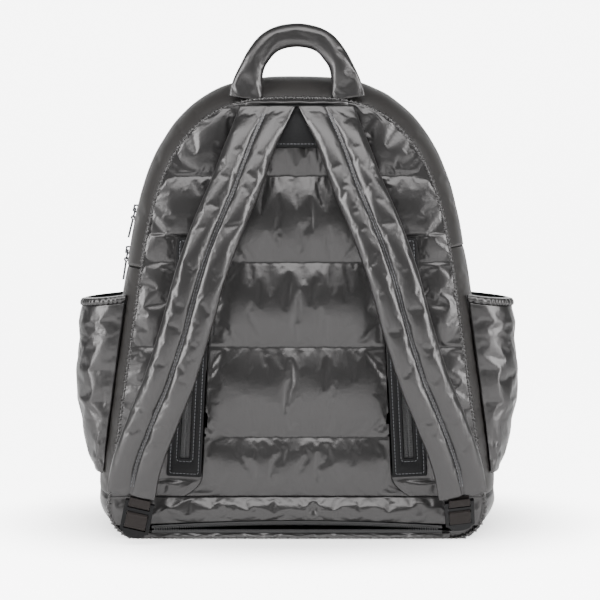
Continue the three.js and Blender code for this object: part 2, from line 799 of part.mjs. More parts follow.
function lowerRoute(lockDepth, pitch, innerEdge) {
  const end = lowMid + 1;
  const face = flapFace(innerEdge, (flapTop + mouthFoot) / 2) - 2 * gap;
  const reach = (face - lockDepth + end * Math.sin(pitch)) / Math.cos(pitch);
  return [
    [clear + 0.6, midMid + 7],
    [clear + 0.6, midMid + 1.2],
    [-clear, midMid - 0.4],
    [-clear, lowMid + 0.4],
    [clear + 0.6, lowMid - 0.4],
    [reach, end],
  ].map(([y, z]) => new THREE.Vector2(y, z));
}
for (const { name, sign } of sides) {
  const lock = new THREE.Group();
  const lean = THREE.MathUtils.degToRad(-sign * lockLean[name]);
  const pitch = THREE.MathUtils.degToRad(lockPitch[name]);
  lock.rotation.set(pitch, lean, 0, "YXZ");
  const up = new THREE.Vector3(0, 0, 1).applyEuler(lock.rotation);
  const strapFoot = new THREE.Vector3(sign * (strapEnd.out - lockSetIn[name]), -strapEnd.stand, strapEnd.height - 2);
  lock.position.copy(strapFoot.addScaledVector(up, -loopTop - 3 * gap));
  backpack.add(lock);
  const innerEdge = Math.abs(lock.position.x) - webbingWidth / 2;
  addPiece("ladder_lock_" + name, ladderLock(), blackPlastic, lock);
  addPiece("strap_loop_" + name, webbingBand(loopRoute), wovenWebbing, lock);
  addPiece("lower_webbing_" + name, webbingBand(lowerRoute(lock.position.y, pitch, innerEdge)), wovenWebbing, lock);
}

// Sliders on the left end of the main zip, and a flat pull on a link from each.
const bridgeRise = 4.2;
const bodyRise = 3;
function sliderShape() {
  const half = sliderLength / 2;
  const outline = new THREE.Shape();
  outline.moveTo(-half, 0);
  outline.lineTo(half, 0);
  outline.lineTo(half, bodyRise);
  outline.lineTo(half - 2, bodyRise);
  outline.lineTo(half - 3, bodyRise + bridgeRise);
  outline.lineTo(3 - half, bodyRise + bridgeRise);
  outline.lineTo(2 - half, bodyRise);
  outline.lineTo(-half, bodyRise);
  const hole = new THREE.Path();
  hole.moveTo(4 - half, bodyRise + 0.4);
  hole.lineTo(half - 4, bodyRise + 0.4);
  hole.lineTo(half - 4.6, bodyRise + bridgeRise - 1.4);
  hole.lineTo(4.6 - half, bodyRise + bridgeRise - 1.4);
  outline.holes.push(hole);
  return outline;
}
const linkSpan = pullWidth + 2 * linkWire + 0.6;
function linkGeometry() {
  const [halfLong, halfSpan, corner] = [(linkLength - linkWire) / 2, (linkSpan - linkWire) / 2, 1.6];
  const turns = shares(16).slice(1).map((share) => 2 * Math.PI * (share + 1 / 32));
  const rings = turns.map((turn) => {
    const [c, s] = [Math.cos(turn), Math.sin(turn)];
    const centre = new THREE.Vector3(
      Math.sign(c) * (halfLong - corner) + corner * c,
      0,
      Math.sign(s) * (halfSpan - corner) + corner * s,
    );
    return shares(6).slice(1).map((share) => {
      const around = 2 * Math.PI * share;
      const out = (Math.cos(around) * linkWire) / 2;
      return centre.clone().add(new THREE.Vector3(c * out, (Math.sin(around) * linkWire) / 2, s * out));
    });
  });
  return ringedBody(rings, true);
}
function pullShape() {
  const eye = linkWire / 2 + 1.8;
  const half = pullThickness / 2;
  const turn = Math.asin(half / eye);
  const outline = new THREE.Shape();
  outline.absarc(0, 0, eye, Math.PI + turn, 3 * Math.PI - turn, false);
  outline.lineTo(-pullLength, half);
  outline.lineTo(-pullLength, -half);
  const hole = new THREE.Path();
  hole.absarc(0, 0, linkWire / 2 + 2 * gap, 0, 2 * Math.PI, true);
  outline.holes.push(hole);
  return outline;
}
const extrudedAcross = (shape, width) =>
  new THREE.ExtrudeGeometry(shape, { depth: width, bevelEnabled: false, curveSegments: 8 }).translate(0, 0, -width / 2);

// Each slider group looks up the zip along X and out of the gusset along Y.
for (const [name, height] of Object.entries(sliderHeights)) {
  const station = stationAt(height);
  const out = seamOutward(station);
  const outward = new THREE.Vector3(-out.x, 0, out.z);
  const upward = new THREE.Vector3(out.z, 0, out.x);
  const slider = new THREE.Group();
  slider.position.copy(gussetPoint(-1, station, zipPlace, gap));
  slider.quaternion.setFromRotationMatrix(
    new THREE.Matrix4().makeBasis(upward, outward, upward.clone().cross(outward)),
  );
  backpack.add(slider);
  addPiece("zip_slider_" + name, extrudedAcross(sliderShape(), sliderWidth - 3), castMetal, slider);
  const hookRise = bodyRise + bridgeRise - 1.4 - linkWire / 2 - gap;
  const link = linkGeometry().translate(-(linkLength - linkWire) / 2, hookRise, 0);
  addPiece("zip_link_" + name, link, castMetal, slider);
  const pull = extrudedAcross(pullShape(), pullWidth).translate(linkWire - linkLength, hookRise, 0);
  addPiece("zip_pull_" + name, pull, castMetal, slider);
}

export default backpack;
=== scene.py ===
import bpy
import numpy as np
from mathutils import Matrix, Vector


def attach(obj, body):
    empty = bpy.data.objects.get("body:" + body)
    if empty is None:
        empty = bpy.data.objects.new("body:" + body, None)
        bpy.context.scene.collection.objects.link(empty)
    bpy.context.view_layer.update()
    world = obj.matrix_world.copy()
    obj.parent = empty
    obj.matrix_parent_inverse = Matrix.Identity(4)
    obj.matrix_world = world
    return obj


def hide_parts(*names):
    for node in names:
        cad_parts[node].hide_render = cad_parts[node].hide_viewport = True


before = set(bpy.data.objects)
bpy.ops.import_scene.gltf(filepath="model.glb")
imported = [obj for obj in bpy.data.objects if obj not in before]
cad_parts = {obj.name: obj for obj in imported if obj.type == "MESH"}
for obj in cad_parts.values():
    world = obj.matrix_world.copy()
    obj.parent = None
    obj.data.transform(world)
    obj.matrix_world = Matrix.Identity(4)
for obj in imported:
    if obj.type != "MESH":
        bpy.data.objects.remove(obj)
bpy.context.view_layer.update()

# Camera
# The bag is seen from its strap side, 1.2 m away and a little above its middle, so that in a
# picture of 600 x 600 the bag's foot is near its lower edge.
camera_data = bpy.data.cameras.new("camera")
camera_data.sensor_width = 36
camera_data.lens = 69.9
camera = bpy.data.objects.new("camera", camera_data)
camera.location = (0.003, -1.2, 0.3)
camera.rotation_euler = (Vector((0.003, 0, 0.23)) - camera.location).to_track_quat("-Z", "Y").to_euler()
bpy.context.scene.collection.objects.link(camera)
bpy.context.scene.camera = camera


# Floor and light
# A pale seamless paper sweep, a wide soft box overhead and one at each side, as in a studio.
def linear(colour):
    """The three linear shares of an sRGB hex colour such as "5f6163"."""
    shares = np.array([int(colour[i : i + 2], 16) for i in (0, 2, 4)]) / 255
    return np.where(shares <= 0.04045, shares / 12.92, ((shares + 0.055) / 1.055) ** 2.4)


def new_node(tree, kind, inputs=None, **settings):
    """Adds a shader node: settings are its own properties, inputs its sockets' values or links."""
    made = tree.nodes.new(kind)
    for name, value in settings.items():
        setattr(made, name, value)
    for name, value in (inputs or {}).items():
        if isinstance(value, bpy.types.NodeSocket):
            tree.links.new(value, made.inputs[name])
        else:
            made.inputs[name].default_value = value
    return made


def finish(name, colour, **sockets):
    """A material with one principled shader; returns the material, its tree and the shader."""
    made = bpy.data.materials.new(name)
    made.use_nodes = True
    shader = made.node_tree.nodes["Principled BSDF"]
    shader.inputs["Base Color"].default_value = (*linear(colour), 1)
    for socket, value in sockets.items():
        shader.inputs[socket.replace("_", " ")].default_value = value
    return made, made.node_tree, shader


def quads(ids, wrapped=False):
    """Corner numbers of the faces between neighbours of a grid of point numbers."""
    if wrapped:
        ids = np.concatenate([ids, ids[:, :1]], axis=1)
    return np.stack([ids[:-1, :-1], ids[:-1, 1:], ids[1:, 1:], ids[1:, :-1]], axis=-1).reshape(-1, 4)


def new_mesh(name, points, faces):
    """A mesh from an array of points and a list of arrays of faces."""
    mesh = bpy.data.meshes.new(name)
    mesh.from_pydata(points.reshape(-1, 3).tolist(), [], [face for part in faces for face in np.asarray(part).tolist()])
    mesh.update()
    return mesh


paper, _, shader = finish("paper_with_painted_shadow", "fafafa", Roughness=0.9)
shader.inputs["Emission Color"].default_value = (1, 1, 1, 1)
# The paper glows: white to the camera, with a painted shadow where its glow is less in an oval round
# the bag's foot, which lets the cast soft shadow show there; what the bag mirrors of it glows dimmer.
tree = paper.node_tree
place = new_node(tree, "ShaderNodeTexCoord")
oval = new_node(tree, "ShaderNodeVectorMath", {0: place.outputs["Object"], 1: (3.2, 6.0, 0.0)}, operation="MULTIPLY")
away = new_node(tree, "ShaderNodeVectorMath", {0: oval.outputs["Vector"]}, operation="LENGTH")
# Painted shadow: the paper's glow drops in an oval round the bag's foot.
glow_with_painted_shadow = new_node(
    tree,
    "ShaderNodeMapRange",
    {"Value": away.outputs["Value"], "From Min": 0.5, "From Max": 1.2, "To Min": 0.9, "To Max": 6.0},
    interpolation_type="SMOOTHSTEP",
)
ray = new_node(tree, "ShaderNodeLightPath")
glow = new_node(
    tree,
    "ShaderNodeMapRange",
    {"Value": ray.outputs["Is Camera Ray"], "To Min": 0.7, "To Max": glow_with_painted_shadow.outputs["Result"]},
)
tree.links.new(glow.outputs["Result"], shader.inputs["Emission Strength"])
sweep_line = np.array([[-3.0, 0.0], [1.4, 0.0], [1.75, 0.05], [2.0, 0.2], [2.15, 0.45], [2.2, 0.8], [2.2, 3.2]])
sweep_points = np.stack(
    [
        np.repeat([[-4.0], [4.0]], len(sweep_line), axis=1),
        np.stack([sweep_line[:, 0]] * 2),
        np.stack([sweep_line[:, 1]] * 2) - 0.0002,
    ],
    axis=-1,
)
sweep = bpy.data.objects.new(
    "paper_sweep", new_mesh("paper_sweep", sweep_points, [quads(np.arange(2 * len(sweep_line)).reshape(2, -1))])
)
sweep.data.polygons.foreach_set("use_smooth", [True] * len(sweep.data.polygons))
sweep.data.materials.append(paper)
bpy.context.scene.collection.objects.link(sweep)

for name, place, target, size, power in [
    ("overhead_box", (0.0, -1.1, 1.4), (0, 0, 0.25), (1.8, 0.9), 36),
    ("left_box", (-1.15, -0.8, 0.6), (0, 0, 0.25), (0.4, 1.1), 24),
    ("right_box", (1.15, -0.8, 0.6), (0, 0, 0.25), (0.4, 1.1), 22),
]:
    light = bpy.data.lights.new(name, "AREA")
    light.shape = "RECTANGLE"
    light.size, light.size_y = size
    light.energy = power
    lamp = bpy.data.objects.new(name, light)
    lamp.location = place
    lamp.rotation_euler = (Vector(target) - lamp.location).to_track_quat("-Z", "Y").to_euler()
    bpy.context.scene.collection.objects.link(lamp)

world = bpy.data.worlds.new("studio")
world.use_nodes = True
world.node_tree.nodes["Background"].inputs["Color"].default_value = (1, 1, 1, 1)
world.node_tree.nodes["Background"].inputs["Strength"].default_value = 0.2
bpy.context.scene.world = world


# Centre of the back
# Two layers of coated nylon with wadding between them, sewn through in level lines and blown out
# between them; the cloth is cut longer than its lining, so that it gathers along every line.
BASE_HALF, SHOULDER_HALF, SHOULDER, TOP = 0.184, 0.152, 0.250, 0.428
CORNER, DOME_POWER = 0.032, 2 / 3.1
REAR, BACK_FACE = -0.071, -0.075
SEAM_GAP = 0.0003
CREASE = 0.042
BACK_LINES = [CREASE, 0.101, 0.189, 0.271, 0.354, TOP]


def seam_point(station):
    """x and z of the back's outline: 0 to 1 flat base, 1 to 2 a quarter circle, 2 to 3 a straight
    side, 3 to 4 a squared dome whose sides keep on tapering."""
    station = np.asarray(station, float)
    flat = BASE_HALF - CORNER
    corner = np.clip(station - 1, 0, 1) * np.pi / 2
    rise = np.clip(station - 2, 0, 1)
    dome = np.clip(station - 3, 0, 1) * np.pi / 2
    height = np.sin(dome) ** DOME_POWER * (TOP - SHOULDER)
    taper = (BASE_HALF - SHOULDER_HALF) / (SHOULDER - CORNER)
    pick = [station <= 1, station <= 2, station <= 3]
    x = np.select(
        pick,
        [station * flat, flat + CORNER * np.sin(corner), BASE_HALF + rise * (SHOULDER_HALF - BASE_HALF)],
        (SHOULDER_HALF - taper * height) * np.maximum(np.cos(dome), 0) ** DOME_POWER,
    )
    z = np.select(
        pick,
        [0 * station, CORNER * (1 - np.cos(corner)), CORNER + rise * (SHOULDER - CORNER)],
        SHOULDER + height,
    )
    return x, z


def station_at(height):
    """The station on the outline's side at a height: seam_point turned round."""
    height = np.asarray(height, float)
    low = 1 + np.arccos(np.clip(1 - height / CORNER, -1, 1)) / (np.pi / 2)
    side = 2 + (height - CORNER) / (SHOULDER - CORNER)
    rise = np.clip((height - SHOULDER) / (TOP - SHOULDER), 0, 1)
    dome = 3 + np.arcsin(rise ** (1 / DOME_POWER)) / (np.pi / 2)
    return np.select([height < CORNER, height <= SHOULDER], [low, side], dome)


def seam_half(height):
    """Half width of the back at a height."""
    return seam_point(station_at(height))[0]


def panel_seam(height):
    """Half width of the centre of the back: straight beside the patches, flared out below them by
    a square and drawn in above them."""
    share = (TOP - height) / (TOP - 0.062)
    flare = np.maximum(0, (0.062 - height) / (0.062 - CREASE))
    drawn_in = np.clip((height - 0.297) / (TOP - 0.297), 0, 1)
    return 0.075 + share * 0.018 + 0.017 * flare**2 - 0.027 * drawn_in


def channel_fill(height, lines):
    """0 on the two sewn lines of a channel and 1 in its middle: (1 - |2s - 1|^2.4)^0.8."""
    lines = np.asarray(lines)
    below = np.clip(np.searchsorted(lines, height, side="right") - 1, 0, len(lines) - 2)
    share = np.clip((height - lines[below]) / (lines[below + 1] - lines[below]), 0, 1)
    return (1 - np.abs(2 * share - 1) ** 2.4) ** 0.8


def spaced(marks, step):
    """Values from the first mark to the last, about a step apart, with every mark among them."""
    parts = [
        np.linspace(low, high, max(2, round(abs(high - low) / step)) + 1)[:-1]
        for low, high in zip(marks[:-1], marks[1:])
    ]
    return np.append(np.concatenate(parts), marks[-1])


def on_lines(values, lines):
    """True where a value lies on one of the lines."""
    return np.isclose(np.asarray(values)[..., None], lines, atol=1e-6).any(-1)


def edges_of(sheet):
    """True on the four edges of a grid of points."""
    mask = np.zeros(sheet.shape[:2], bool)
    mask[[0, -1]] = True
    mask[:, [0, -1]] = True
    return mask


def blown(sheet, sewn, growth=0.08, pressure=6.0, bend=1.5, reach=0.012, seed=1, wrapped=False):
    """Blender's Cloth blows the sheet, a grid of points: sewn points stay, the rest is larger than
    its cut, by growth beside them and a tenth of it far from them, and no point passes reach."""
    waver = np.random.default_rng(seed).normal(size=sheet.shape)
    for _ in range(9):
        for axis in (0, 1):
            waver = (waver + np.roll(waver, 1, axis) + np.roll(waver, -1, axis)) / 3
    start = sheet + 0.0002 * waver / waver.std() * ~sewn[..., None]
    rows, columns = sewn.shape
    mesh = new_mesh("cut", start, [quads(np.arange(rows * columns).reshape(rows, columns), wrapped)])
    cut = bpy.data.objects.new("cut", mesh)
    bpy.context.scene.collection.objects.link(cut)
    group = cut.vertex_groups.new(name="sewn")
    group.add(np.nonzero(sewn.ravel())[0].tolist(), 1.0, "REPLACE")
    near = sewn.astype(float)
    for _ in range(7):
        for axis in (0, 1):
            near = np.maximum(near, 0.74 * np.maximum(np.roll(near, 1, axis), np.roll(near, -1, axis)))
    gathered = cut.vertex_groups.new(name="gathered")
    level = np.round(near.ravel() * 10).astype(int)
    for step in range(11):
        gathered.add(np.nonzero(level == step)[0].tolist(), step / 10, "REPLACE")
    cloth = cut.modifiers.new("cloth", "CLOTH")
    cloth.settings.vertex_group_shrink = "gathered"
    cloth.settings.shrink_max = -growth
    cloth.settings.vertex_group_mass = "sewn"
    cloth.settings.quality = 5
    cloth.settings.air_damping = 3
    cloth.settings.tension_stiffness = 15
    cloth.settings.compression_stiffness = 15
    cloth.settings.shear_stiffness = 5
    cloth.settings.bending_stiffness = bend
    cloth.settings.use_pressure = True
    cloth.settings.uniform_pressure_force = pressure
    cloth.settings.shrink_min = -growth / 10
    cloth.settings.effector_weights.gravity = 0
    cloth.collision_settings.use_collision = False
    cloth.point_cache.frame_start = 1
    cloth.point_cache.frame_end = 30
    for number in range(1, 20):
        bpy.context.scene.frame_set(number)
    settled = cut.evaluated_get(bpy.context.evaluated_depsgraph_get()).data
    flat = np.empty(rows * columns * 3)
    settled.vertices.foreach_get("co", flat)
    bpy.data.objects.remove(cut)
    bpy.data.meshes.remove(mesh)
    bpy.context.scene.frame_set(1)
    move = flat.reshape(sheet.shape) - sheet
    length = np.linalg.norm(move, axis=-1, keepdims=True)
    return sheet + move * np.minimum(1, reach / np.maximum(length, 1e-9))


def finer(grid, axes=(0, 1), wrapped=False):
    """Puts a point between every two of a grid's: (9 (a + b) - (before + after)) / 16."""
    for axis in axes:
        grid = np.moveaxis(grid, axis, 0)
        if axis == 1 and wrapped:
            around = np.concatenate([grid[-1:], grid, grid[:2]])
        else:
            around = np.concatenate([2 * grid[:1] - grid[1:2], grid, 2 * grid[-1:] - grid[-2:-1]])
        middles = (9 * (around[1:-2] + around[2:-1]) - (around[:-3] + around[3:])) / 16
        joined = np.empty((len(grid) + len(middles), *grid.shape[1:]))
        joined[0::2] = grid
        joined[1::2] = middles
        grid = np.moveaxis(joined, 0, axis)
    return grid


def add_piece(name, points, faces, material, nodes=(), smooth=None):
    """Makes a closed mesh a piece of the bag that rides with it; smooth counts its round faces."""
    mesh = new_mesh(name, points, faces)
    mesh.calc_loop_triangles()
    corners = np.empty(len(mesh.loop_triangles) * 3, int)
    mesh.loop_triangles.foreach_get("vertices", corners)
    a, b, c = np.moveaxis(points.reshape(-1, 3)[corners.reshape(-1, 3)], 1, 0)
    if np.einsum("ij,ij->", a, np.cross(b, c)) < 0:
        mesh.flip_normals()
    count = len(mesh.polygons)
    mesh.polygons.foreach_set("use_smooth", np.arange(count) < (count if smooth is None else smooth))
    mesh.materials.append(material)
    made = bpy.data.objects.new(name, mesh)
    bpy.context.scene.collection.objects.link(made)
    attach(made, "root")
    if nodes:
        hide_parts(*nodes)
    return made


def panel(name, face, lining, material, nodes=()):
    """Closes a face over its lining with a rim: both are grids with the same columns."""
    rows, columns = face.shape[:2]
    layers = lining.shape[0]
    outer = np.arange(rows * columns).reshape(rows, columns)
    inner = rows * columns + np.arange(layers * columns).reshape(layers, columns)
    skin = quads(outer)
    others = [
        quads(np.stack([inner[0], outer[0]])),
        quads(np.stack([outer[-1], inner[-1]])),
        quads(inner)[:, ::-1],
        [np.concatenate([outer[:, 0], inner[::-1, 0]])],
        [np.concatenate([outer[::-1, -1], inner[:, -1]])],
    ]
    points = np.concatenate([face.reshape(-1, 3), lining.reshape(-1, 3)])
    return add_piece(name, points, [skin, *others], material, nodes, smooth=len(skin))


def facing_out(face, lining, *masks):
    """Turns grids round, columns last to first, where the face would look at its lining."""
    across = face[0, 1:] - face[0, :-1]
    up = face[1, :-1] - face[0, :-1]
    if np.sum(np.cross(across, up) * (face[0, :-1] - lining[0, :-1])) < 0:
        return [grid[:, ::-1] for grid in (face, lining, *masks)]
    return [face, lining, *masks]


# Polyester-filled nylon taffeta with a shiny metallic coat, so that each fold carries a soft
# bright streak; its threads are too fine to show, so only the coat's crinkle of a few mm is drawn.
nylon, tree, shader = finish("coated_nylon", "403f3f", Metallic=0.8, Roughness=0.3)
place = new_node(tree, "ShaderNodeTexCoord")
crinkle = new_node(tree, "ShaderNodeTexNoise", {"Vector": place.outputs["Object"], "Scale": 260.0, "Detail": 3.0})
relief = new_node(
    tree, "ShaderNodeBump", {"Height": crinkle.outputs["Fac"], "Strength": 0.25, "Distance": 0.0006}
)
tree.links.new(relief.outputs["Normal"], shader.inputs["Normal"])

centre_top = TOP - 0.0008
centre_lines = [*BACK_LINES[:-1], 0.4195, centre_top]
heights = spaced(centre_lines, 0.0028)[:, None]
across = np.linspace(-1, 1, 67)[None, :]
half = np.minimum(panel_seam(heights), seam_half(heights)) - SEAM_GAP / 2
fill = channel_fill(heights, centre_lines) * (1 - np.abs(across) ** 5)
centre_sheet = np.stack(
    np.broadcast_arrays(across * half, BACK_FACE - 0.005 * fill, heights), axis=-1
)
sewn = edges_of(centre_sheet) | on_lines(np.broadcast_to(heights, centre_sheet.shape[:2]), centre_lines)
centre_face = finer(blown(centre_sheet, sewn, growth=0.12, bend=1.0, seed=11))
lining = finer(centre_sheet[[0, -1]], axes=(1,))
lining[..., 1] = REAR
panel("centre_panel", centre_face, lining, nylon, ["back_panel_centre"])


# Sides of the back
# The same quilting, sewn flat under the sleeve patches, with its lines at the same heights.
PATCH_FOOT, PATCH_LENGTH, PATCH_WIDTH = 0.062, 0.232, 0.0335
PATCH_MID = PATCH_FOOT + PATCH_LENGTH / 2
SIDES = [("left", -1), ("right", 1)]
try_heights = np.linspace(0.36, TOP, 200)
side_top = try_heights[seam_half(try_heights) >= panel_seam(try_heights) + 0.004].max()
side_lines = [*BACK_LINES[:-1], side_top]
for side, sign in SIDES:
    heights = spaced(side_lines, 0.0028)[:, None]
    across = np.linspace(0, 1, 37)[None, :]
    near = panel_seam(heights) + SEAM_GAP / 2
    far = seam_half(heights)
    x = near + across * (far - near)
    beside = np.clip((x - near - 0.036) / (far - near - 0.036), 0, 1)
    under_patch = np.abs(heights - PATCH_MID) < PATCH_LENGTH / 2 + 0.004
    share = np.where(under_patch, beside, across)
    fill = channel_fill(heights, side_lines) * np.sin(np.pi * share)
    sheet = np.stack(np.broadcast_arrays(sign * x, BACK_FACE - 0.004 * fill, heights), axis=-1)
    sewn = edges_of(sheet) | on_lines(np.broadcast_to(heights, x.shape), side_lines)
    sewn |= under_patch & (x - near < 0.035)
    sewn |= (heights < PATCH_FOOT) & (x - near < 0.008)
    lining = sheet[[0, -1]].copy()
    lining[..., 1] = REAR
    sheet, lining, sewn = facing_out(sheet, lining, sewn)
    face = finer(blown(sheet, sewn, growth=0.14, seed=21 + sign))
    made = panel(
        "side_of_back_" + side, face, finer(lining, axes=(1,)), nylon, ["back_panel_" + side]
    )


# Bottom flap
# A narrow roll of the same quilting over the mouth, tacked down once near its middle.
MOUTH_HALF, TAPE = 0.142, 0.0026
TACK = (0.016, 0.029)


def mouth_edge(x):
    """Height of the mouth's upper edge: it gapes most in its middle, by a parabola."""
    share = np.minimum(np.abs(x) / MOUTH_HALF, 1)
    return 0.0092 + 0.0014 + 0.0046 * (1 - share**2)


mouth_end = BASE_HALF - CORNER
flap_top = CREASE - SEAM_GAP
across = np.linspace(-1, 1, 141)[None, :]
up = np.linspace(0, 1, 15)[:, None]
low = mouth_edge(across * mouth_end) + TAPE + SEAM_GAP
z = low + up * (flap_top - low)
x = across * (mouth_end + (seam_half(z) - mouth_end) * np.abs(across))
bulge = np.sin(np.pi * up) * (1 - np.abs(across) ** 8)
tack = np.exp(-((x - TACK[0]) ** 2 + (z - TACK[1]) ** 2) / 0.006**2)
flap_sheet = np.stack([x, BACK_FACE - 0.006 * bulge * (1 - 0.8 * tack), z], axis=-1)
sewn = edges_of(flap_sheet) | (np.hypot(x - TACK[0], z - TACK[1]) < 0.0024)
lining = flap_sheet[[0, -1]].copy()
lining[..., 1] = REAR
flap_face = finer(blown(flap_sheet, sewn, growth=0.12, pressure=8, seed=31))
panel("mouth_flap", flap_face, finer(lining, axes=(1,)), nylon, ["bottom_flap"])

# Mouth of the foot: lip and zip
# A thin padded lip under the opening, and on each of its edges a nylon tape with moulded teeth.
across = np.linspace(-1, 1, 141)[None, :]
up = np.linspace(0, 1, 9)[:, None]
z = 0.0006 + up * 0.0054
bulge = np.sin(np.pi * up) * (1 - np.abs(across) ** 8)
lip_sheet = np.stack(
    np.broadcast_arrays(across * (MOUTH_HALF + 0.008), BACK_FACE - 0.003 * bulge, z), axis=-1
)
lining = lip_sheet[[0, -1]].copy()
lining[..., 1] = REAR
lip_face = finer(blown(lip_sheet, edges_of(lip_sheet), growth=0.1, pressure=8, reach=0.002, seed=32))
panel("lower_lip", lip_face, finer(lining, axes=(1,)), nylon, ["mouth_lip"])

# Polyamide zip parts, moulded and semi-gloss, nearly black.
zip_nylon, _, _ = finish("moulded_polyamide", "101011", Roughness=0.42)


def box_of(size):
    """The 8 corners and 6 faces of a box with its middle at the origin, given its three sizes."""
    corners = np.array([[x, y, z] for x in (-1, 1) for y in (-1, 1) for z in (-1, 1)]) * np.array(size) / 2
    faces = np.array([[0, 1, 3, 2], [4, 6, 7, 5], [0, 4, 5, 1], [2, 3, 7, 6], [0, 2, 6, 4], [1, 5, 7, 3]])
    return corners, faces


def repeated(corners, faces, places, turns):
    """Copies of a small shape: each has its corners turned by a 3 x 3 matrix, then moved."""
    points = np.einsum("nij,kj->nki", turns, corners) + places[:, None]
    numbers = faces[None] + len(corners) * np.arange(len(places))[:, None, None]
    return points.reshape(-1, 3), numbers.reshape(-1, faces.shape[1])


for edge in ("lower", "upper"):
    x = np.linspace(-MOUTH_HALF, MOUTH_HALF, 95)
    foot = np.full_like(x, 0.0063) if edge == "lower" else mouth_edge(x)
    outline = [(0.0, 0.0), (1.0, 0.0), (1.0, 1.0), (0.0, 1.0)]
    ring = np.stack(
        [np.stack([x, BACK_FACE + 0.001 - 0.0012 * d + 0 * x, foot + TAPE * u], -1) for d, u in outline], axis=1
    )
    numbers = np.arange(ring.shape[0] * 4).reshape(-1, 4)
    parts = [quads(numbers, wrapped=True), numbers[:1, ::-1], numbers[-1:]]
    tooth = np.arange(-MOUTH_HALF + 0.003, MOUTH_HALF - 0.003, 0.0023)
    tooth_foot = np.full_like(tooth, 0.0063 + TAPE) if edge == "lower" else mouth_edge(tooth)
    places = np.stack([tooth, np.full_like(tooth, BACK_FACE + 0.0), tooth_foot], -1)
    corners, faces = box_of((0.0012, 0.0022, 0.0020))
    tooth_points, tooth_faces = repeated(corners, faces, places, np.tile(np.eye(3), (len(places), 1, 1)))
    points = np.concatenate([ring.reshape(-1, 3), tooth_points])
    add_piece(
        "mouth_tape_" + edge,
        points,
        [*parts, tooth_faces + ring.shape[0] * 4],
        zip_nylon,
        ["mouth_zip_" + edge],
        smooth=0,
    )


# Gusset
# The band round the bag, of the same padded nylon: quilted on both sides up to the ends of the
# main zip, plain and puckered beside the zip over the top, flat under the foot.
ZIP_END = {"left": 0.264, "right": 0.284}
ZIP_Y, ZIP_HALF = -0.010, 0.004


def front_seam(height):
    """Depth of the front seam: the bag is 150 mm deep at its foot and 130 mm at its top."""
    return REAR + 0.150 - height / TOP * 0.020


def smoothstep(value, low, high):
    """0 below low, 1 above high, 3t^2 - 2t^3 between them."""
    t = np.clip((value - low) / (high - low), 0, 1)
    return t * t * (3 - 2 * t)


def seam_outward(station):
    """Unit direction out of the body at a station: the outline's own direction, turned."""
    before, after = seam_point(np.maximum(station - 0.01, 0)), seam_point(np.minimum(station + 0.01, 4))
    run, rise = after[0] - before[0], after[1] - before[1]
    length = np.hypot(run, rise)
    return rise / length, -run / length


def gusset_point(sign, station, y, offset):
    """Place on the gusset: the seam plus outward times the swell, which is 1 - |2s - 1|^4 of its
    full value across the depth and grows from the corner up, plus an offset."""
    x, z = seam_point(station)
    out_x, out_z = seam_outward(station)
    share = (y - REAR) / (front_seam(z) - REAR)
    cross = np.maximum(0, 1 - np.abs(2 * share - 1) ** 4)
    swell = (0.020 * smoothstep(station, 1, 2.35) + 0.006 * smoothstep(station, 3, 4)) * cross
    reach = swell + offset
    return np.stack(np.broadcast_arrays(sign * (x + out_x * reach), y, z + out_z * reach), axis=-1)


# The gusset's nylon without the metallic coat and in a darker colour that is painted shade, so that it stays dark
# beside the shiny panels.
gusset_nylon_painted_shade, _, _ = finish("gusset_nylon_with_painted_shade", "201e1d", Metallic=0.15, Roughness=0.45)


def gusset_piece(name, sign, station, depth, ends, wall, sewn_rows, puff, node, growth, seed, floor=False):
    """A length of gusset on a grid of stations and shares of depth, blown and closed."""
    _, height = seam_point(station)
    rear, front = ends(height)
    y = rear + depth * (front - rear)
    face = gusset_point(sign, station, y, puff * np.sin(np.pi * depth))
    lining = gusset_point(sign, station, y, -wall)
    sewn = edges_of(face) | sewn_rows[:, None]
    face, lining, sewn = (np.swapaxes(grid, 0, 1) for grid in (face, lining, sewn))
    face, lining, sewn = facing_out(face, lining, sewn)
    blown_face = finer(blown(face, sewn, growth=growth, seed=seed, reach=0.008))
    if floor:
        blown_face[..., 2] = np.maximum(blown_face[..., 2], 0)
    # Outside the base, the gusset takes the nylon whose darker colour is painted shade.
    cloth = nylon if floor else gusset_nylon_painted_shade
    made = panel(name, blown_face, finer(lining[[0, -1]], axes=(1,)), cloth, [node])
    return made


def shown_depth(height, low, high):
    """Rear and front of a strip of gusset at a height, each None for the seam itself."""
    rear = REAR + SEAM_GAP if low is None else low
    front = front_seam(height) - SEAM_GAP if high is None else high
    return rear, front


for side, sign in SIDES:
    lines = [CREASE, 0.101, 0.189, ZIP_END[side]]
    heights = spaced(lines, 0.0035)[:, None]
    puff = 0.002 * channel_fill(heights, lines)
    gusset_piece(
        "gusset_side_" + side,
        sign,
        station_at(heights),
        np.linspace(0, 1, 43)[None, :],
        lambda height: shown_depth(height, None, None),
        0.007,
        on_lines(heights[:, 0], lines),
        puff,
        "side_gusset_" + side,
        0.02,
        41 + sign,
    )

top_left = -(4 - station_at(ZIP_END["left"]) - 0.0014)
top_right = 4 - station_at(ZIP_END["right"]) - 0.0014
top_run = np.linspace(top_left, top_right, 171)
top_sign, top_station = np.sign(top_run)[:, None], (4 - np.abs(top_run))[:, None]
none_sewn = np.zeros(len(top_run), bool)
for strip, low, high, node, steps in [
    ("rear", None, ZIP_Y - ZIP_HALF - SEAM_GAP, "gusset_rear_strip", 19),
    ("front", ZIP_Y + ZIP_HALF + SEAM_GAP, None, "gusset_front_strip", 23),
]:
    gusset_piece(
        "gusset_top_" + strip,
        top_sign,
        top_station,
        np.linspace(0, 1, steps)[None, :],
        lambda height, low=low, high=high: shown_depth(height, low, high),
        0.004,
        none_sewn,
        0.001,
        node,
        0.015,
        45 + steps,
    )

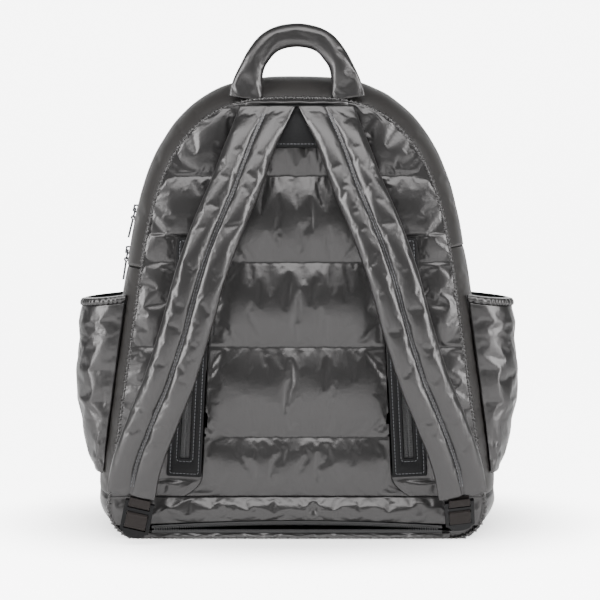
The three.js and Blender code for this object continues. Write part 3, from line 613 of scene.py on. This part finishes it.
base_end = station_at(CREASE) - 0.0014
base_run = np.concatenate([np.linspace(-base_end, -1, 22), np.linspace(-1, 1, 87)[1:-1], np.linspace(1, base_end, 22)])
gusset_piece(
    "gusset_base",
    np.sign(base_run)[:, None],
    np.abs(base_run)[:, None],
    np.linspace(0, 1, 41)[None, :],
    lambda height: shown_depth(height, None, None),
    0.007,
    np.zeros(len(base_run), bool),
    0.0,
    "base_panel",
    0.05,
    49,
    floor=True,
)

# Main zip
# Two woven tapes meet under a nylon coil that runs over the top from one side to the other.
across = np.linspace(-1, 1, 17)[None, :]
run = np.linspace(top_left, top_right, 561)
coil = 0.0011 * np.exp(-((across / 0.42) ** 4)) * (0.55 + 0.45 * np.cos(np.arange(561) * np.pi * 0.66)[:, None])
coil = coil - 0.0007 * np.exp(-((across / 0.07) ** 2))
zip_sign, zip_station = np.sign(run)[:, None], (4 - np.abs(run))[:, None]
zip_face = gusset_point(zip_sign, zip_station, ZIP_Y + across * ZIP_HALF, coil)
zip_back = gusset_point(zip_sign, zip_station, ZIP_Y + across * ZIP_HALF, -0.0022)
grids = [np.swapaxes(grid, 0, 1) for grid in (zip_face, zip_back)]
zip_face, zip_back = facing_out(*grids)
panel("main_zip_coil", zip_face, zip_back[[0, -1]], zip_nylon, ["main_zip"])

# Gathered seams
# Where the gusset meets the back and the front, the two turned edges are sewn together twice and
# pucker into a narrow ruffled ridge.
seam_run = np.concatenate([np.arange(-4, 4, 0.006)])
ridge_sign, ridge_station = np.sign(seam_run)[:, None], np.abs(seam_run)[:, None]


def ridge(name, depth_of, lean, seed):
    """A closed ring of small rings: each is a circle whose radius and middle waver by sums of
    three sines along the seam, like a gathered edge."""
    x, z = seam_point(4 - np.abs(seam_run))
    out_x, out_z = seam_outward(4 - np.abs(seam_run))
    side = np.sign(seam_run)
    steps = np.hypot(np.diff(side * x), np.diff(z))
    run = np.append(0, np.cumsum(steps))
    even = np.linspace(0, run[-1], 1500)[:-1]
    x, z = np.interp(even, run, side * x), np.interp(even, run, z)
    out_x, out_z = np.interp(even, run, side * out_x), np.interp(even, run, out_z)
    wave = np.sin(even * 1500 + seed) + 0.7 * np.sin(even * 2230 + 2 * seed) + 0.5 * np.sin(even * 890)
    radius = 0.0021 + 0.0005 * wave
    turn = np.arange(8) * np.pi / 4
    out = 0.0002 + 0.0003 * np.cos(even * 1210 + seed) + radius[None] * np.cos(turn)[:, None]
    deep = depth_of(z)[None] + lean * radius[None] * np.sin(turn)[:, None]
    points = np.stack([x + out_x * out, deep, z + out_z * out], axis=-1)
    points[..., 2] = np.maximum(points[..., 2], 0.0003)
    numbers = np.arange(points.shape[0] * points.shape[1]).reshape(points.shape[:2])
    numbers = np.concatenate([numbers, numbers[:1]])
    return add_piece(name, points, [quads(numbers, wrapped=True)], nylon)


ridge("gathered_seam_back", lambda z: 0 * z + BACK_FACE + 0.0022, 1.3, 1.0)
ridge("gathered_seam_front", lambda z: front_seam(z) + 0.002, 1.3, 2.0)

# Front of the bag
# Plain quilting in six bands, sewn to the gusset all round.
front_lines = [0.006, 0.060, 0.130, 0.210, 0.290, 0.360, centre_top]
heights = spaced(front_lines, 0.0042)[:, None]
across = np.linspace(-1, 1, 89)[None, :]
fill = channel_fill(heights, front_lines) * (1 - np.abs(across) ** 6)
sheet = np.stack(
    np.broadcast_arrays(
        across * (seam_half(heights) - SEAM_GAP), front_seam(heights) + 0.0043 + 0.005 * fill, heights
    ),
    axis=-1,
)
sewn = edges_of(sheet) | on_lines(np.broadcast_to(heights, sheet.shape[:2]), front_lines)
lining = sheet[[0, -1]].copy()
lining[..., 1] = front_seam(lining[..., 2]) + SEAM_GAP
sheet, lining, sewn = facing_out(sheet, lining, sewn)
face = finer(blown(sheet, sewn, seed=51))
panel("quilted_front", face, finer(lining, axes=(1,)), nylon, ["front_panel"])

# Side pockets
# An open pocket of the same quilting on each side, sewn through in two level lines and gathered
# into an elastic hem.
POCKET_FOOT, POCKET_TOP, POCKET_DEPTH = 0.060, 0.229, 0.0425
pocket_up = [0, 0.08, 0.2, 0.3, 0.42, 0.6, 0.8, 0.9, 1]
pocket_out = [0.13, 0.3, 0.48, 0.6, 0.76, 0.88, 0.93, 1, 0.98]


def pocket_wall(sign, turn, height, shrink):
    """The pocket's plan is half a superellipse of power 0.7 laid on the gusset; how far it stands
    out at each height comes from the table, and it droops 6 mm outwards."""
    rear, front = REAR + 0.013, front_seam(height) - 0.013
    up = (height - POCKET_FOOT) / (POCKET_TOP - POCKET_FOOT)
    out = np.maximum(POCKET_DEPTH * np.interp(up, pocket_up, pocket_out) - shrink, 0)
    out = out * np.maximum(np.sin(turn), 0) ** 0.7
    half = (front - rear) / 2 - shrink
    y = (rear + front) / 2 - half * np.sign(np.cos(turn)) * np.abs(np.cos(turn)) ** 0.7
    wall = gusset_point(sign, station_at(height), y, 0.0023)
    wall[..., 0] += sign * out
    wall[..., 2] -= 0.006 * up * out / POCKET_DEPTH
    return wall


for side, sign in SIDES:
    pocket_lines = [POCKET_FOOT, 0.110, 0.195, POCKET_TOP]
    heights = spaced(pocket_lines, 0.0035)[:, None]
    turn = np.linspace(0, np.pi, 65)[None, :]
    sheet = pocket_wall(sign, turn, heights, 0.0)
    lining = pocket_wall(sign, turn, heights[[0, 12, 24, 36, -1]], 0.006)
    sewn = edges_of(sheet) | on_lines(np.broadcast_to(heights, sheet.shape[:2]), pocket_lines)
    sheet, lining, sewn = facing_out(sheet, lining, sewn)
    face = finer(blown(sheet, sewn, growth=0.09, reach=0.007, seed=61 + sign))
    made = panel(
        "bottle_pocket_" + side, face, finer(lining, axes=(1,)), nylon, ["side_pocket_" + side]
    )

    turn = np.linspace(0, np.pi, 181)[None, :]
    up = np.linspace(0, 1, 9)[:, None]
    heights = POCKET_TOP + SEAM_GAP + up * 0.007
    gather = 0.5 + 0.5 * np.sin(turn * 62 + 2.5 * np.sin(turn * 9 + sign)) * (0.35 + 0.65 * np.abs(2 * up - 1))
    swell = 0.0016 * np.sin(np.pi * up) + 0.0013 * gather
    outer = pocket_wall(sign, turn, heights, 0.0)
    way = outer - pocket_wall(sign, turn, heights, 0.004)
    outer = outer + way / np.maximum(np.linalg.norm(way, axis=-1, keepdims=True), 1e-6) * swell[..., None]
    inner = pocket_wall(sign, turn, heights[[0, 4, -1]], 0.005)
    outer, inner = facing_out(outer, inner)
    made = panel("pocket_edge_" + side, outer, inner, nylon, ["pocket_hem_" + side])

# Sleeve patches
# A strip of matt imitation leather on each side of the back, stitched round its edge, with a long
# window that shows a reversed coil zip, so that the bag slips over a suitcase handle.
leatherette, tree, shader = finish("imitation_leather", "0e0e0f", Roughness=0.6, Specular_IOR_Level=0.15)
place = new_node(tree, "ShaderNodeTexCoord")
grain = new_node(tree, "ShaderNodeTexVoronoi", {"Vector": place.outputs["Object"], "Scale": 900.0})
relief = new_node(
    tree, "ShaderNodeBump", {"Height": grain.outputs["Distance"], "Strength": 0.3, "Distance": 0.0003}
)
tree.links.new(relief.outputs["Normal"], shader.inputs["Normal"])
thread, _, _ = finish("polyester_thread", "505154", Roughness=0.6)
WINDOW_WIDTH, WINDOW_LENGTH, WINDOW_SHIFT = 0.010, 0.201, 0.0025
SPLAY = np.radians(2.9)


def oblong(width, length, radius, straight=60):
    """A rounded rectangle as one ring of points: quarter circles joined by straight sides."""
    x, z = width / 2 - radius, length / 2 - radius
    turn = np.linspace(0, np.pi / 2, 6)
    ring = []
    for number, (cx, cz) in enumerate([(x, z), (-x, z), (-x, -z), (x, -z)]):
        angle = turn + number * np.pi / 2
        ring.append(np.stack([cx + radius * np.cos(angle), cz + radius * np.sin(angle)], -1))
        after = [(-x, z), (-x, -z), (x, -z), (x, z)][number]
        angle = (number + 1) * np.pi / 2
        end = np.array([after[0] + radius * np.cos(angle), after[1] + radius * np.sin(angle)])
        count = straight if number % 2 == 0 else straight
        share = np.linspace(0, 1, count + 2)[1:-1, None]
        ring.append(ring[-1][-1] + share * (end - ring[-1][-1]))
    return np.concatenate(ring)


def on_patch(sign, flat, stand):
    """Turns points drawn flat on the patch, x and z, to their place on the bag's back."""
    turned = -sign * SPLAY
    x = flat[..., 0] * np.cos(turned) + flat[..., 1] * np.sin(turned)
    z = -flat[..., 0] * np.sin(turned) + flat[..., 1] * np.cos(turned)
    middle = sign * (panel_seam(PATCH_MID) + SEAM_GAP + PATCH_WIDTH / 2)
    return np.stack([middle + x, BACK_FACE - SEAM_GAP - stand + 0 * x, PATCH_MID + z], axis=-1)


def evenly(path, pitch):
    """Places and directions a pitch apart along a path, by its length."""
    steps = np.linalg.norm(np.diff(path, axis=0), axis=1)
    run = np.append(0, np.cumsum(steps))
    at = np.arange(pitch / 2, run[-1], pitch)
    places = np.stack([np.interp(at, run, path[:, axis]) for axis in range(3)], -1)
    ahead = np.stack([np.interp(at + pitch / 3, run, path[:, axis]) for axis in range(3)], -1)
    behind = np.stack([np.interp(at - pitch / 3, run, path[:, axis]) for axis in range(3)], -1)
    along = ahead - behind
    return places, along / np.linalg.norm(along, axis=1, keepdims=True)


def stitches(name, paths, pitch=0.0034, length=0.0026, thick=0.0007):
    """A row of stitches along each path: each stitch is a spindle of four rings with six sides."""
    rings = np.array([[-0.5, 0.3], [-0.3, 0.5], [0.3, 0.5], [0.5, 0.3]])
    angle = np.arange(6) * np.pi / 3
    corners = np.stack(
        [
            np.repeat(rings[:, :1] * length, 6, axis=1),
            rings[:, 1:] * thick * np.cos(angle),
            rings[:, 1:] * thick * np.sin(angle),
        ],
        axis=-1,
    ).reshape(-1, 3)
    numbers = np.arange(24).reshape(4, 6)
    sides = quads(numbers, wrapped=True)
    points, faces, start = [], [], 0
    for path in paths:
        places, along = evenly(path, pitch)
        aside = np.cross(along, [0.0, 1.0, 0.0])
        aside /= np.linalg.norm(aside, axis=1, keepdims=True)
        turns = np.stack([along, aside, np.cross(along, aside)], axis=2)
        for part in (sides, numbers[:1, ::-1], numbers[-1:]):
            made, corners_of = repeated(corners, part, places, turns)
            faces.append(corners_of + start)
        points.append(made)
        start += len(made)
    return add_piece(name, np.concatenate(points), faces, thread)


for side, sign in SIDES:
    rows = []
    for inset, stand in [
        (0, 0), (0, 0.0013), (0.0004, 0.0019), (0.0010, 0.0022), (0.0024, 0.0022), (0.0030, 0.0017), (0.0036, 0.0022),
    ]:
        rows.append(on_patch(sign, oblong(PATCH_WIDTH - 2 * inset, PATCH_LENGTH - 2 * inset, 0.002), stand))
    for inset, stand in [(0.0036, 0.0022), (0.0030, 0.0017), (0.0024, 0.0023), (0.0009, 0.0027), (0, 0.0023), (0, 0)]:
        flat = oblong(WINDOW_WIDTH + 2 * inset, WINDOW_LENGTH + 2 * inset, 0.001 + inset)
        rows.append(on_patch(sign, flat + np.array([0, WINDOW_SHIFT]), stand))
    rows = np.array(rows + rows[:1])
    numbers = np.arange((len(rows) - 1) * rows.shape[1]).reshape(len(rows) - 1, -1)
    numbers = np.concatenate([numbers, numbers[:1]])
    add_piece(
        "suitcase_strip_" + side, rows[:-1], [quads(numbers, wrapped=True)], leatherette,
        ["sleeve_patch_" + side],
    )
    ring = oblong(PATCH_WIDTH - 0.006, PATCH_LENGTH - 0.006, 0.002)
    edge_path = on_patch(sign, np.concatenate([ring, ring[:1]]), 0.0019)
    ring = oblong(WINDOW_WIDTH + 0.006, WINDOW_LENGTH + 0.006, 0.003) + np.array([0, WINDOW_SHIFT])
    window_path = on_patch(sign, np.concatenate([ring, ring[:1]]), 0.0019)
    stitches("strip_stitches_" + side, [edge_path, window_path])

    across = np.linspace(-1, 1, 15)[:, None]
    along = np.linspace(-1, 1, 481)[None, :]
    weave = 0.00022 * np.cos(np.arange(481) * np.pi * 0.5 + 0 * across + 3.0 * np.abs(across))
    stand = 0.0009 + weave * (np.abs(across) < 0.8) - 0.0007 * np.exp(-((across / 0.1) ** 2))
    flat = np.stack(
        np.broadcast_arrays(
            across * (WINDOW_WIDTH / 2 - SEAM_GAP), along * (WINDOW_LENGTH / 2 - SEAM_GAP) + WINDOW_SHIFT
        ),
        axis=-1,
    )
    face, back = facing_out(on_patch(sign, flat, stand), on_patch(sign, flat[[0, -1]], 0.0))
    panel("strip_zip_" + side, face, back, zip_nylon, ["sleeve_zip_" + side])

# Tab between the strap tops
# A plain piece of the same imitation leather, sewn down over the highest channel.
TAB_TOP, TAB_FOOT, TAB_HALF = 0.421, 0.380, 0.036
across = np.linspace(-1, 1, 41)[None, :]
heights = np.linspace(TAB_FOOT, TAB_TOP, 25)[:, None]


def centre_puff(x, height):
    """How far the centre of the back stands proud at a place, as its own formula gives it."""
    share = np.minimum(np.abs(x) / np.minimum(panel_seam(height), seam_half(height)), 1)
    return 0.010 * channel_fill(height, centre_lines) * (1 - share**5)


def tab_layer(stand):
    """The tab lies on the channel's curve, further out by stand."""
    x, z = np.broadcast_arrays(across * TAB_HALF, heights)
    return np.stack(np.broadcast_arrays(x, BACK_FACE - centre_puff(x, z) - SEAM_GAP - stand, z), axis=-1)


rounded = 0.0024 * (1 - np.abs(across) ** 14) ** 0.5 * (1 - np.abs(2 * (heights - TAB_FOOT) / 0.041 - 1) ** 14) ** 0.5
groove = 0.0006 * np.exp(-(((heights - TAB_FOOT - 0.0035) / 0.0007) ** 2))
tab_face, tab_back = facing_out(tab_layer(0.0005 + rounded - groove), tab_layer(0.0))
panel("yoke", tab_face, tab_back, leatherette, ["yoke_tab"])
x = np.linspace(-TAB_HALF + 0.002, TAB_HALF - 0.002, 40)
z = np.full_like(x, TAB_FOOT + 0.0035)
stitches("yoke_stitches", [np.stack([x, BACK_FACE - centre_puff(x, z) - 0.0026, z], -1)])

# Shoulder straps
# Thick pads of the same nylon on each side of one line of stitches, sewn closed along both edges
# and pleated into the top seam; they bow away from the back.
STRAP_WIDTH, STRAP_DEPTH, STRAP_TOP_DEPTH = 0.047, 0.015, 0.008
strap_down = np.array([0, 0.1, 0.2, 0.32, 0.43, 0.57, 0.7, 0.8, 0.92, 1])
strap_out = np.array([0, 0.12, 0.22, 0.36, 0.47, 0.58, 0.7, 0.82, 0.95, 1])
strap_stand = np.array([0, 0.3, 0.56, 0.82, 0.97, 1, 0.94, 0.8, 0.6, 0.48])


def smooth_path(knots, count):
    """A centripetal Catmull-Rom curve through the knots, in count even steps of its length."""
    ends = np.concatenate([2 * knots[:1] - knots[1:2], knots, 2 * knots[-1:] - knots[-2:-1]])
    p0, p1, p2, p3 = ends[:-3], ends[1:-2], ends[2:-1], ends[3:]
    d0, d1, d2 = (np.sqrt(np.linalg.norm(b - a, axis=1))[:, None] for a, b in [(p0, p1), (p1, p2), (p2, p3)])
    t1 = ((p1 - p0) / d0 - (p2 - p0) / (d0 + d1) + (p2 - p1) / d1) * d1
    t2 = ((p2 - p1) / d1 - (p3 - p1) / (d1 + d2) + (p3 - p2) / d2) * d1
    t = np.linspace(0, 1, 60)[None, :, None]
    p1, p2, t1, t2 = (value[:, None] for value in (p1, p2, t1, t2))
    curve = p1 + t1 * t + (3 * (p2 - p1) - 2 * t1 - t2) * t**2 + (2 * (p1 - p2) + t1 + t2) * t**3
    curve = curve.reshape(-1, 3)
    run = np.append(0, np.cumsum(np.linalg.norm(np.diff(curve, axis=0), axis=1)))
    keep = np.append(True, np.diff(run) > 1e-9)
    at = np.linspace(0, run[-1], count)
    return np.stack([np.interp(at, run[keep], curve[keep, axis]) for axis in range(3)], -1), run[-1]


def pad_rings(path, width, depth, section, levelled):
    """Rings round a path: a section's two shares times half the width aside and half the depth
    outward, where aside is the path's direction crossed with -Y, or level by the share levelled."""
    along = np.gradient(path, axis=0)
    along /= np.linalg.norm(along, axis=1, keepdims=True)
    aside = np.cross(along, [0.0, -1.0, 0.0])
    aside /= np.linalg.norm(aside, axis=1, keepdims=True)
    outward = np.cross(aside, along)
    level = np.stack([np.sign(aside[:, 0]), 0 * aside[:, 0], 0 * aside[:, 0]], -1)
    aside = aside + levelled[:, None] * (level - aside)
    wide = section[None, :, :1] * width[:, None, None] / 2
    deep = section[None, :, 1:] * depth[:, None, None] / 2
    return path[:, None] + aside[:, None] * wide + outward[:, None] * deep, outward, aside


def tube(name, rings, material, nodes=()):
    """Closes rings of points into a body with a flat cap at each end."""
    numbers = np.arange(rings.shape[0] * rings.shape[1]).reshape(rings.shape[:2])
    skin = quads(numbers, wrapped=True)
    return add_piece(name, rings, [skin, numbers[:1, ::-1], numbers[-1:]], material, nodes, smooth=len(skin))


share = np.concatenate([np.linspace(-1, 1, 21)[:-1], np.linspace(1, -1, 21)[:-1]])
front_side = np.arange(40) < 20
lobes = (1 - np.abs(2 * np.abs(share) - 1) ** 2.6) ** 0.7
lift = np.where(front_side, 0.1 * (1 - share**4) + 0.68 * lobes, -0.15 * (1 - share**4) - 0.5 * lobes)
pad_section = np.stack([share, lift], -1)
seam_columns = np.isclose(np.abs(share), 1) | np.isclose(share, 0)
top_stand = 0.075 + float(centre_puff(0.0283, 0.417)) + STRAP_TOP_DEPTH / 2 + 0.0048
for side, sign in SIDES:
    x = 0.0275 + strap_out * (0.158 - 0.0275)
    z = 0.4195 + strap_down * (0.050 - 0.4195)
    y = -(top_stand + strap_stand * (0.125 - top_stand))
    path, length = smooth_path(np.stack([sign * x, y, z], -1), 141)
    share = np.linspace(0, 1, 141)
    width = 0.053 + smoothstep(share, 0, 0.12) * (STRAP_WIDTH - 0.053)
    depth = 0.004 + smoothstep(share, 0, 0.1) * (STRAP_DEPTH - 0.004)
    depth = depth - smoothstep(share, 0.93, 1) * (STRAP_DEPTH - STRAP_TOP_DEPTH)
    rings, outward, aside = pad_rings(path, width, depth, pad_section, 1 - smoothstep(share, 0.01, 0.16))
    sewn = np.tile(seam_columns, (141, 1))
    sewn[[0, -1]] = True
    rings = finer(blown(rings, sewn, growth=0.045, pressure=5, bend=1.2, reach=0.003, seed=71 + sign, wrapped=True), wrapped=True)
    tube("padded_strap_" + side, rings, nylon, ["shoulder_strap_" + side])
    rows = [path + outward * (depth[:, None] * 0.05 + 0.0012) + aside * shift for shift in (-0.0012, 0.0012)]
    made = stitches(
        "strap_stitches_" + side, [row[3:-3] for row in rows], pitch=0.0036, length=0.0028
    )

# Carry handle
# A padded arch of the same nylon whose gathered ends are tucked under the top of the gusset.
handle_foot = float(gusset_point(1, station_at(TOP - 0.0023), REAR + 0.0045, SEAM_GAP)[2])
handle_out = np.array([-1.06, -0.97, -0.81, -0.5, 0, 0.5, 0.81, 0.97, 1.06]) * 0.047
handle_up = np.array([0, 0.3, 0.62, 0.9, 1, 0.9, 0.62, 0.3, 0])
handle_z = handle_foot + handle_up * (0.488 - handle_foot)
handle_z[[0, -1]] -= 0.0045
knots = np.stack([handle_out, np.full(9, REAR - 0.001), handle_z], -1)
path, length = smooth_path(knots, 81)
share = np.linspace(0, 1, 81)
from_foot = smoothstep(np.minimum(share, 1 - share), 0, 0.22)
turn = np.arange(36) * 2 * np.pi / 36
oval = np.stack([np.cos(turn), 0.82 * np.sin(turn)], -1)
rings, _, _ = pad_rings(path, 0.024 + 0.010 * (1 - from_foot), 0.009 + 0.011 * from_foot, oval * 0.93, 0 * share)
sewn = np.zeros(rings.shape[:2], bool)
sewn[[0, -1]] = True
sewn[:, [0, 18]] = True
rings = finer(blown(rings, sewn, growth=0.05, pressure=5, reach=0.003, seed=81, wrapped=True), wrapped=True)
tube("padded_handle", rings, nylon, ["carry_handle"])

# Ladder locks and webbing
# Each lock is one moulding of black acetal; woven polyester webbing hangs it from the strap's end
# and runs from it into the foot seam.
acetal, _, _ = finish("black_acetal", "080809", Roughness=0.35, Specular_IOR_Level=0.15)
webbing, tree, shader = finish("woven_polyester", "242120", Roughness=0.85, Specular_IOR_Level=0.1)
place = new_node(tree, "ShaderNodeTexCoord")
ribs = new_node(
    tree, "ShaderNodeTexWave", {"Vector": place.outputs["Object"], "Scale": 260.0, "Distortion": 0.6},
    bands_direction="Z",
)
relief = new_node(tree, "ShaderNodeBump", {"Height": ribs.outputs["Fac"], "Strength": 0.6, "Distance": 0.0004})
tree.links.new(relief.outputs["Normal"], shader.inputs["Normal"])
black_nickel, _, _ = finish("black_nickel_zinc", "77787b", Metallic=1.0, Roughness=0.24)
for nodes, material in [
    (["ladder_lock_left", "ladder_lock_right"], acetal),
    (["strap_loop_left", "strap_loop_right", "lower_webbing_left", "lower_webbing_right"], webbing),
    ([part + "_" + which for part in ("zip_slider", "zip_link", "zip_pull") for which in ("upper", "lower")], black_nickel),
]:
    for name in nodes:
        for material_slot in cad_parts[name].material_slots:
            material_slot.material = material

# The last 8 mm of each lower webbing, sewn into the flap.
for side, _ in SIDES:
    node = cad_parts["lower_webbing_" + side]
    corners = np.empty(len(node.data.vertices) * 3)
    node.data.vertices.foreach_get("co", corners)
    turn = np.array(node.matrix_world)
    corners = np.unique((corners.reshape(-1, 3) @ turn[:3, :3].T + turn[:3, 3]).round(6), axis=0)
    end = corners[np.argsort(-corners[:, 1])][:4]
    pairs = end[np.argsort(end[:, 0])].reshape(2, 2, 3)
    pairs = np.stack([pair[np.argsort(pair[:, 2])] for pair in pairs])
    ring = pairs[[0, 0, 1, 1], [0, 1, 1, 0]]
    rings = ring + np.array([[0, -0.0002, -0.0002], [0, 0.0035, 0.0022], [0, 0.0085, 0.0034]])[:, None]
    numbers = np.arange(12).reshape(3, 4)
    parts = [quads(numbers, wrapped=True), numbers[:1, ::-1], numbers[-1:]]
    add_piece("webbing_end_" + side, rings, parts, webbing, smooth=0)
